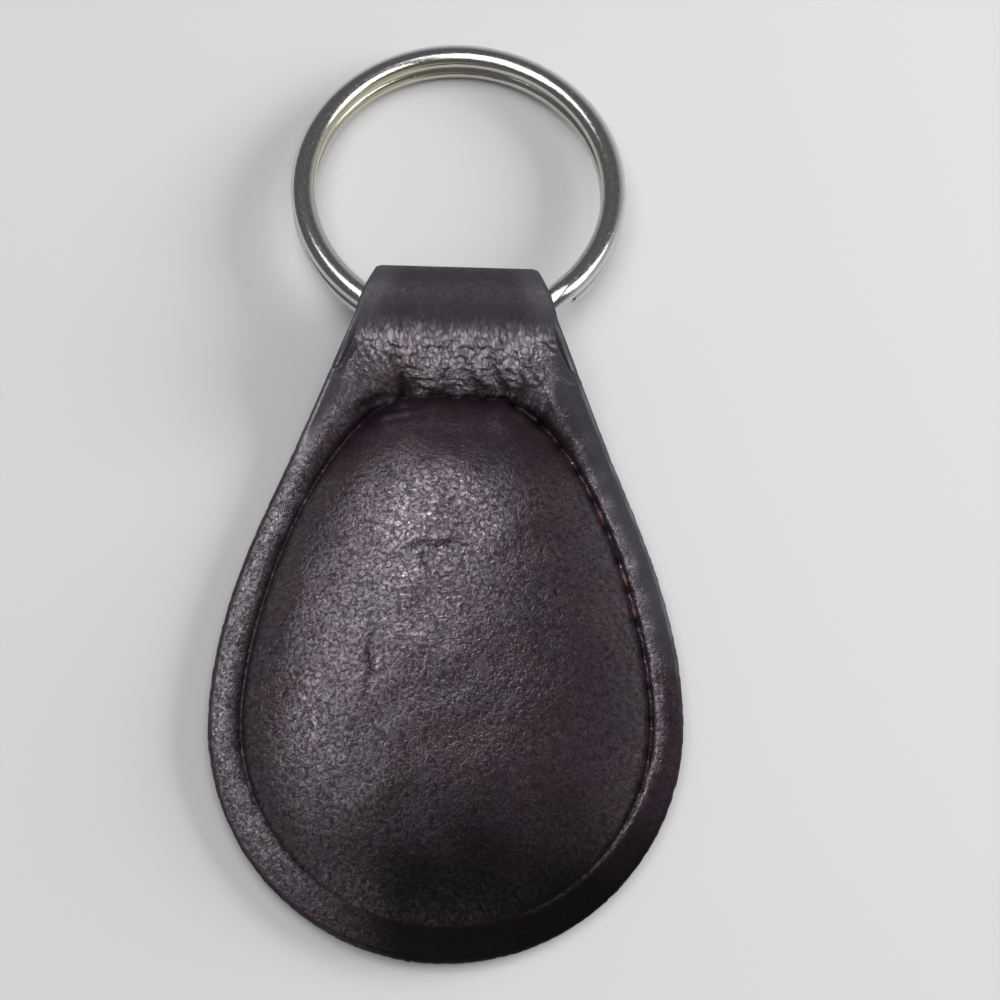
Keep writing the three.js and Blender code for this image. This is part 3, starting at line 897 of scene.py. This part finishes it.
def sewing_thread(name, rest_z, dip):
    """A two-ply thread laid round the seam, dipping into the leather at each stitch hole."""
    steps = STITCHES * STEPS_A_STITCH
    piece = long_tube(name, 10, steps - 1, True)
    step = np.round(read_layer(piece, "step")).astype(int)
    around = read_layer(piece, "around")
    spots = np.linspace(0, len(SEAM), steps, endpoint=False)
    index = np.arange(len(CLOSED_SEAM))
    line = np.c_[np.interp(spots, index, CLOSED_SEAM[:, 0]), np.interp(spots, index, CLOSED_SEAM[:, 1])]
    way = np.roll(line, -1, axis=0) - np.roll(line, 1, axis=0)
    way = way / np.hypot(way[:, 0], way[:, 1])[:, None]
    outward = np.c_[way[:, 1], -way[:, 0]]
    x, y = line[step].T
    length = step / steps * SEAM_LENGTH
    dive = np.maximum(0, np.cos(2 * math.pi * step / STEPS_A_STITCH)) ** 2
    stray = 0.05 * ripple(length / 1.7, 0, 41)
    ply = np.abs(np.cos(around - 2 * math.pi * length / PLY_LENGTH))
    radius = THREAD_RADIUS * (1 + 0.16 * ply - 0.06)
    side = stray + radius * np.cos(around)
    sunk = 0.4 * (1 - smooth(1, 8, x) * smooth(30.6, 29.4, y)) * np.sign(dip)
    shown = np.zeros(len(step))
    for at_x, at_y, amount in SHOWN_STITCHES:
        shown = np.maximum(shown, amount * hump(np.hypot(x - at_x, y - at_y), 0.6))
    raised = 0.16 * shown * (dip < 0)
    places = np.c_[
        line[step] + outward[step] * side[:, None],
        rest_z + sunk + raised + dip * dive + radius * np.sin(around),
    ]
    set_places(piece, places)
    write_layer(piece, "rust", shown)
    return piece


def pad_filling():
    """The soft pad under the dome: a ball drawn out to the seam's plan, crowned, with drawn-in sides."""
    seat, top, waist = 1.5, 6.6, 1.9
    seam_room = 1.6
    bm = bmesh.new()
    bmesh.ops.create_uvsphere(bm, u_segments=96, v_segments=32, radius=1.0)
    piece = link_mesh("pad_filling", bm)
    ball = np.zeros(len(piece.data.vertices) * 3, np.float32)
    piece.data.vertices.foreach_get("co", ball)
    ball = ball.reshape(-1, 3).astype(float)
    turn = np.arctan2(ball[:, 1], ball[:, 0])
    flat = np.hypot(ball[:, 0], ball[:, 1])
    out = np.sin(flat * math.pi / 2)
    reach = out / dome_share(np.cos(turn), DOME_CENTRE_Y + np.sin(turn), seam_room)
    x = np.cos(turn) * reach
    y = DOME_CENTRE_Y + np.sin(turn) * reach
    upper = waist + (top - waist) * crown(out)
    lower = waist - (waist - seat) * smooth(1.0, 0.9, flat)
    set_places(piece, np.c_[x, y, np.where(ball[:, 2] >= 0, upper, lower)])
    return piece


# The split ring: one wire in two coils, with the climb between them at the loop's right mouth.
COIL_GAP = 0.08
COIL_HEIGHT = (STACK_HEIGHT - COIL_GAP) / 2
WIRE_START = math.radians(315)
COIL_SWEEP = math.radians(330)
STEP_SWEEP = math.radians(30)
WIRE_STEPS = 330
WIRE_POWER = 2 / 2.05
# Where the painted yellowish reflection on the wire's inner side is strongest, in degrees round the ring,
# and how far it spreads.
YELLOW_REFLECTION_AT = 128
YELLOW_REFLECTION_SPAN = 42


def nickel_ring():
    piece = long_tube("nickel_ring", 28, WIRE_STEPS, False)
    step = read_layer(piece, "step")
    around = read_layer(piece, "around")
    turned = step / WIRE_STEPS * (2 * COIL_SWEEP + STEP_SWEEP)
    climb = smooth(COIL_SWEEP, COIL_SWEEP + STEP_SWEEP, turned)
    from_end = np.minimum(step, WIRE_STEPS - step)
    blunt = np.interp(from_end, [0, 1, 2, 3], [0.80, 0.93, 0.985, 1.0])
    cos, sin = np.cos(around), np.sin(around)
    wide = np.sign(cos) * np.abs(cos) ** WIRE_POWER * WIRE_WIDTH / 2 * blunt
    high = np.sign(sin) * np.abs(sin) ** WIRE_POWER * COIL_HEIGHT / 2 * blunt
    radius = RING_RADIUS - WIRE_WIDTH / 2 + wide
    height = (climb - 0.5) * (COIL_HEIGHT + COIL_GAP) + high
    turn = WIRE_START + turned
    flat_x = radius * np.cos(turn)
    flat_y = PIVOT_RADIUS + radius * np.sin(turn)
    tilt_cos, tilt_sin = math.cos(RING_TILT), math.sin(RING_TILT)
    places = np.c_[
        flat_x,
        FOLD_Y + flat_y * tilt_cos - height * tilt_sin,
        FOLD_Z + flat_y * tilt_sin + height * tilt_cos,
    ]
    set_places(piece, places)
    write_layer(piece, "along_wire", turned * RING_RADIUS)
    # Painted reflection: a yellowish tint on the wire's inward-facing side, strongest toward the far left.
    inner = smooth(-0.3, -0.8, cos)
    far_left = hump(np.degrees(turn) % 360 - YELLOW_REFLECTION_AT, YELLOW_REFLECTION_SPAN)
    write_layer(piece, "yellow_reflection", inner * (0.25 + 0.75 * far_left))
    return piece


# Finishes: node patterns in millimetres, in the part's own frame or along the sheet and the wire.
def new_finish(name):
    finish = bpy.data.materials.new(name)
    finish.use_nodes = True
    tree = finish.node_tree
    return finish, tree, tree.nodes["Principled BSDF"]


def put(tree, kind, inputs=None, **settings):
    node = tree.nodes.new(kind)
    for key, value in settings.items():
        setattr(node, key, value)
    for key, value in (inputs or {}).items():
        if isinstance(value, bpy.types.NodeSocket):
            tree.links.new(value, node.inputs[key])
        else:
            node.inputs[key].default_value = value
    return node


def in_millimetres(tree):
    spot = put(tree, "ShaderNodeTexCoord").outputs["Object"]
    scale = (1 / MM, 1 / MM, 1 / MM)
    return put(tree, "ShaderNodeMapping", {"Vector": spot, "Scale": scale}).outputs["Vector"]


def layer(tree, name):
    return put(tree, "ShaderNodeAttribute", attribute_name=name).outputs["Fac"]


def noise(tree, spot, scale, detail, output="Fac", **inputs):
    inputs = {"Vector": spot, "Scale": scale, "Detail": detail, **inputs}
    return put(tree, "ShaderNodeTexNoise", inputs).outputs[output]


def math_of(tree, operation, a, b):
    return put(tree, "ShaderNodeMath", {0: a, 1: b}, operation=operation).outputs[0]


def blend_colours(tree, factor, a, b):
    node = put(tree, "ShaderNodeMix", {"Factor": factor}, data_type="RGBA")
    for socket, value in ((node.inputs[6], a), (node.inputs[7], b)):
        if isinstance(value, bpy.types.NodeSocket):
            tree.links.new(value, socket)
        else:
            socket.default_value = (*value, 1.0)
    return node.outputs[2]


def ramp(tree, factor, low, high, low_value=0.0, high_value=1.0, **settings):
    inputs = {"Value": factor, "From Min": low, "From Max": high, "To Min": low_value, "To Max": high_value}
    return put(tree, "ShaderNodeMapRange", inputs, **settings).outputs[0]


def raise_grain(tree, shader, height, strength, distance):
    inputs = {"Height": height, "Strength": strength, "Distance": distance}
    tree.links.new(put(tree, "ShaderNodeBump", inputs).outputs["Normal"], shader.inputs["Normal"])


PLUM = (0.0076, 0.0041, 0.0078)
BROWN = (0.0100, 0.0048, 0.0066)
MOTTLED = (0.011, 0.0072, 0.0094)
FOLDED = (0.019, 0.0140, 0.0195)
# Pale tint for the wear spots and for the painted highlight and sheen.
WEAR_AND_SHEEN_TINT = (0.050, 0.046, 0.052)
LEATHER_TINTS = [
    # layer, colour
    # lighter grey tint of the pressed leather, partly painted sheen
    ("pressed", (0.0215, 0.0210, 0.0255)),
    # painted highlight along the right edge's rounding
    ("painted_bevel_highlight", (0.090, 0.087, 0.094)),
    ("smudge", (0.040, 0.028, 0.020)),
    ("shaded_end", (0.0030, 0.0024, 0.0030)),
    # painted shade in the seam's groove and the creases
    ("seam_and_crease_shade", (0.005, 0.0035, 0.0045)),
    ("cut_edge", (0.0030, 0.0029, 0.0036)),
]


def leather_grain(tree, spot):
    """The grain's raised tops, its pores and the fine pleats under the fold."""
    wander = noise(tree, spot, 1.3, 3.0, "Color")
    moved = put(tree, "ShaderNodeVectorMath", {0: wander, "Scale": 1.0}, operation="SCALE").outputs[0]
    bent = put(tree, "ShaderNodeVectorMath", {0: spot, 1: moved}, operation="ADD").outputs[0]
    cells = {"Vector": bent, "Scale": 1.9, "Randomness": 1.0}
    cracks = put(tree, "ShaderNodeTexVoronoi", cells, feature="DISTANCE_TO_EDGE").outputs["Distance"]
    pebbles = ramp(tree, cracks, 0.0, 0.24, interpolation_type="SMOOTHSTEP")
    blotches = ramp(tree, noise(tree, bent, 2.4, 3.0, Roughness=0.65), 0.41, 0.59)
    split = ramp(tree, layer(tree, "wrinkled"), 0.0, 1.0, 0.35, 0.60)
    tops = put(tree, "ShaderNodeMix", {0: split, 2: blotches, 3: pebbles}).outputs[0]
    pores = noise(tree, bent, 4.5, 3.0)
    pulled = put(tree, "ShaderNodeMapping", {"Vector": bent, "Scale": (2.6, 0.55, 1.0)}).outputs["Vector"]
    return tops, pores, noise(tree, pulled, 1.0, 3.0)


def leather_colour(tree, spot, mottle, wear_and_sheen):
    cloudy = noise(tree, spot, 0.16, 3.0)
    base = blend_colours(tree, ramp(tree, cloudy, 0.35, 0.65), PLUM, BROWN)
    base = blend_colours(tree, ramp(tree, mottle, 0.45, 0.75, 0.0, 0.45), base, MOTTLED)
    base = blend_colours(tree, layer(tree, "fold_band"), base, FOLDED)
    # Wear spots, and painted highlight and sheen, in a pale tint.
    base = blend_colours(tree, wear_and_sheen, base, WEAR_AND_SHEEN_TINT)
    for name, tint in LEATHER_TINTS:
        base = blend_colours(tree, layer(tree, name), base, tint)
    return base


def leather_shine(tree, tops, pores, matt, wear_and_sheen):
    """Glossy on the grain's tops, plainer where it is pressed, matte on the fold and the cut edge, with
    extra shine where there is wear and painted sheen; painted shade cuts the shine in the seam, the
    creases, the shaded end and under the brow, and it is lower on the calm top of the dome and the smudge.
    """
    lively = math_of(tree, "MULTIPLY", tops, ramp(tree, pores, 0.35, 0.62, 0.55, 1.0))
    lively = math_of(tree, "MULTIPLY", lively, layer(tree, "pebble"))
    even = math_of(tree, "MAXIMUM", layer(tree, "wrinkled"), layer(tree, "pressed"))
    lively = math_of(tree, "ADD", lively, math_of(tree, "MULTIPLY", even, 0.36))
    # Extra shine where there is wear and where sheen is painted.
    wear_and_sheen_shine = math_of(tree, "MULTIPLY", wear_and_sheen, 0.2)
    shine = math_of(tree, "ADD", ramp(tree, lively, 0.0, 1.0, 0.20, 1.30), wear_and_sheen_shine)
    dull_and_shade = math_of(tree, "MAXIMUM", math_of(tree, "MULTIPLY", matt, 0.35), layer(tree, "seam_and_crease_shade"))
    dull_and_shade = math_of(tree, "MAXIMUM", dull_and_shade, layer(tree, "dull_and_shade"))
    return math_of(tree, "MULTIPLY", shine, ramp(tree, dull_and_shade, 0.0, 1.0, 1.0, 0.03))


def leather_finish():
    finish, tree, shader = new_finish("dark_leather")
    spot = put(tree, "ShaderNodeAttribute", attribute_name="sheet").outputs["Vector"]
    mottle = noise(tree, spot, 1.1, 4.0)
    tops, pores, pleats = leather_grain(tree, spot)
    wear_and_sheen = math_of(tree, "MULTIPLY", layer(tree, "wear_and_sheen"), ramp(tree, tops, 0.2, 1.0, 0.15, 1.0))
    matt = math_of(tree, "MAXIMUM", layer(tree, "cut_edge"), layer(tree, "fold_band"))
    tree.links.new(leather_colour(tree, spot, mottle, wear_and_sheen), shader.inputs["Base Color"])
    tree.links.new(leather_shine(tree, tops, pores, matt, wear_and_sheen), shader.inputs["Specular IOR Level"])
    shader.inputs["Specular Tint"].default_value = (1.0, 0.90, 1.0, 1.0)
    rougher = math_of(tree, "MULTIPLY", matt, 0.24)
    rough = math_of(tree, "ADD", ramp(tree, tops, 0.0, 1.0, 0.42, 0.29), rougher)
    rough = math_of(tree, "ADD", rough, ramp(tree, mottle, 0.3, 0.7, -0.03, 0.04))
    tree.links.new(rough, shader.inputs["Roughness"])
    grain = math_of(tree, "ADD", tops, math_of(tree, "MULTIPLY", pores, 0.4))
    grain = math_of(tree, "MULTIPLY", grain, layer(tree, "pebble"))
    height = math_of(tree, "ADD", grain, math_of(tree, "MULTIPLY", pleats, layer(tree, "pleat")))
    raise_grain(tree, shader, height, 1.0, 0.000028)
    return finish


def thread_finish(name):
    dark = (0.012, 0.008, 0.009)
    pale = tuple(1.9 * value for value in dark)
    rust = (0.15, 0.066, 0.056)
    finish, tree, shader = new_finish(name)
    fuzz = noise(tree, in_millimetres(tree), 4.0, 3.0)
    base = blend_colours(tree, ramp(tree, fuzz, 0.35, 0.7), dark, pale)
    base = blend_colours(tree, layer(tree, "rust"), base, rust)
    tree.links.new(base, shader.inputs["Base Color"])
    raise_grain(tree, shader, fuzz, 0.6, 0.00004)
    shader.inputs["Roughness"].default_value = 0.85
    shader.inputs["Specular IOR Level"].default_value = 0.2
    return finish


def foam_finish():
    finish, tree, shader = new_finish("pad_foam")
    cells = {"Vector": in_millimetres(tree), "Scale": 2.5}
    cells = put(tree, "ShaderNodeTexVoronoi", cells).outputs["Distance"]
    base = blend_colours(tree, cells, (0.60, 0.55, 0.44), (0.72, 0.68, 0.58))
    tree.links.new(base, shader.inputs["Base Color"])
    raise_grain(tree, shader, cells, 0.5, 0.0001)
    shader.inputs["Roughness"].default_value = 0.95
    return finish


def nickel_finish():
    grey, bright, reflected_yellow = (0.56, 0.555, 0.56), (0.68, 0.675, 0.68), (0.62, 0.585, 0.44)
    finish, tree, shader = new_finish("nickel_plate")
    along = math_of(tree, "MULTIPLY", layer(tree, "along_wire"), 0.35)
    flat = put(tree, "ShaderNodeCombineXYZ", {"X": along, "Y": layer(tree, "around")}).outputs[0]
    drawn = noise(tree, flat, 5.0, 5.0)
    specks = noise(tree, in_millimetres(tree), 4.0, 6.0)
    base = blend_colours(tree, ramp(tree, specks, 0.3, 0.7), grey, bright)
    # painted reflection on the wire's inner side
    base = blend_colours(tree, layer(tree, "yellow_reflection"), base, reflected_yellow)
    tree.links.new(base, shader.inputs["Base Color"])
    shader.inputs["Metallic"].default_value = 1.0
    streaks = ramp(tree, drawn, 0.35, 0.7, 0.10, 0.20)
    rough = math_of(tree, "ADD", streaks, ramp(tree, specks, 0.55, 0.8, 0.0, 0.14))
    tree.links.new(rough, shader.inputs["Roughness"])
    height = math_of(tree, "ADD", drawn, math_of(tree, "MULTIPLY", specks, 0.6))
    raise_grain(tree, shader, height, 1.0, 0.00001)
    return finish


BACKGROUND = (0.74, 0.735, 0.745)


def seen_straight(tree):
    """1 for rays from the camera, also by way of a mirror or through glass."""
    path = put(tree, "ShaderNodeLightPath")
    through = math_of(tree, "MAXIMUM", path.outputs["Is Glossy Ray"], path.outputs["Is Transmission Ray"])
    return math_of(tree, "MAXIMUM", path.outputs["Is Camera Ray"], through)


def floor_finish():
    """Plain and pale; far from the tag, where no lamp reaches, it keeps the background's tone."""
    finish, tree, shader = new_finish("pale_floor")
    shader.inputs["Base Color"].default_value = (0.70, 0.695, 0.705, 1.0)
    shader.inputs["Roughness"].default_value = 0.95
    shader.inputs["Specular IOR Level"].default_value = 0.1
    spot = put(tree, "ShaderNodeTexCoord").outputs["Object"]
    reach = put(tree, "ShaderNodeVectorMath", {0: spot}, operation="LENGTH").outputs["Value"]
    far = math_of(tree, "MULTIPLY", ramp(tree, reach, 0.12, 0.50), seen_straight(tree))
    tone = put(tree, "ShaderNodeEmission", {"Color": (*BACKGROUND, 1.0)}).outputs[0]
    mixed = put(tree, "ShaderNodeMixShader", {0: far, 1: shader.outputs[0], 2: tone}).outputs[0]
    tree.links.new(mixed, tree.nodes["Material Output"].inputs["Surface"])
    return finish


# Pieces on their bodies.
def dress(piece, finish, body, slot, *nodes):
    piece.data.materials.append(finish)
    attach(piece, body)
    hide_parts(*nodes)


cover = leather_cover()
dress(cover, leather_finish(), "tag", "cover_leather", "folded_cover")
filling = pad_filling()
dress(filling, foam_finish(), "tag", "pad_foam", "foam_pad")
top_thread = sewing_thread("top_thread", RIM_TOP - 0.60, -DIVE)
dress(top_thread, thread_finish("top_thread_fibre"), "tag", "seam_thread", "needle_thread")
under_thread = sewing_thread("under_thread", 0.36, DIVE)
dress(under_thread, thread_finish("under_thread_fibre"), "tag", "seam_thread", "bobbin_thread")
ring = nickel_ring()
dress(ring, nickel_finish(), "ring", "ring_plate", "split_ring")


# Floor and light, in metres.
def pale_floor():
    bm = bmesh.new()
    bmesh.ops.create_grid(bm, x_segments=1, y_segments=1, size=3.0)
    bmesh.ops.translate(bm, verts=bm.verts, vec=(0, 0, -0.02 * MM))
    floor = link_mesh("pale_floor", bm)
    floor.data.materials.append(floor_finish())
    return floor


def dim_room():
    """A dim room, lighter low down and to the right; the camera and low reflections see a pale one."""
    world = bpy.data.worlds.new("room")
    world.use_nodes = True
    tree = world.node_tree
    way = put(tree, "ShaderNodeTexCoord").outputs["Generated"]
    height = put(tree, "ShaderNodeVectorMath", {0: way, 1: (-0.32, 0.0, 1.0)}, operation="DOT_PRODUCT")
    lit = ramp(tree, height.outputs["Value"], 0.10, 0.52, 0.52, 0.12)
    rise = put(tree, "ShaderNodeSeparateXYZ", {0: way}).outputs["Z"]
    low = math_of(tree, "MULTIPLY", seen_straight(tree), ramp(tree, rise, 0.0, 0.06, 1.0, 0.0))
    from_camera = put(tree, "ShaderNodeLightPath").outputs["Is Camera Ray"]
    shade = blend_colours(tree, math_of(tree, "MAXIMUM", from_camera, low), lit, BACKGROUND)
    tree.links.new(shade, tree.nodes["Background"].inputs["Color"])
    scene.world = world


def soft_box(name, one_end, other_end, width, power):
    """A lamp that faces the tag and reaches from one direction to another, as seen from there."""
    distance = 0.55
    aim = Vector((0.0, 0.015, 0.0))
    start, stop = (Vector(end).normalized() * distance for end in (one_end, other_end))
    back = (start + stop).normalized()
    long_way = (stop - start).normalized()
    lamp = bpy.data.lights.new(name, "AREA")
    lamp.shape = "RECTANGLE"
    lamp.size, lamp.size_y = (stop - start).length, width
    lamp.energy = power
    light = bpy.data.objects.new(name, lamp)
    turn = Matrix((long_way, back.cross(long_way), back)).transposed().to_4x4()
    light.matrix_world = Matrix.Translation(aim + back * distance) @ turn
    scene.collection.objects.link(light)
    return light


def choose_lit(light, pieces, state):
    """INCLUDE lights these pieces alone, and EXCLUDE all but these."""
    chosen = bpy.data.collections.new(light.name + "_choice")
    for piece in pieces:
        chosen.objects.link(piece)
    light.light_linking.receiver_collection = chosen
    for choice in chosen.collection_objects:
        choice.light_linking.link_state = state


def set_lamps(ring, floor):
    """Three lamps for the leather, one for the floor, two for the ring and a fill for all of them."""
    leather_lamps = [
        soft_box("window", (0.06, 0.60, 0.79), (-0.40, 0.52, 0.78), 0.09, 2.45),
        soft_box("left_lamp", (-0.60, 0.34, 0.74), (-0.56, -0.22, 0.79), 0.14, 1.5),
        soft_box("front_lamp", (-0.48, -0.92, 0.36), (0.36, -0.92, 0.36), 0.34, 2.0),
    ]
    fill = soft_box("right_fill", (0.80, 0.60, 0.42), (0.93, -0.10, 0.42), 0.26, 2.5)
    fill.visible_glossy = False
    ceiling = soft_box("ceiling", (0.36, 0.10, 0.90), (-0.52, 0.10, 0.94), 0.45, 1.9)
    ring_lamps = [
        soft_box("right_glint", (0.52, 0.30, 0.82), (0.56, -0.12, 0.82), 0.36, 0.80),
        soft_box("top_glint", (-0.46, 0.14, 0.90), (0.10, 0.14, 0.97), 0.36, 0.93),
    ]
    for light in leather_lamps:
        choose_lit(light, [ring, floor], "EXCLUDE")
    choose_lit(ceiling, [floor], "INCLUDE")
    for light in ring_lamps:
        choose_lit(light, [ring], "INCLUDE")


floor = pale_floor()
dim_room()
set_lamps(ring, floor)
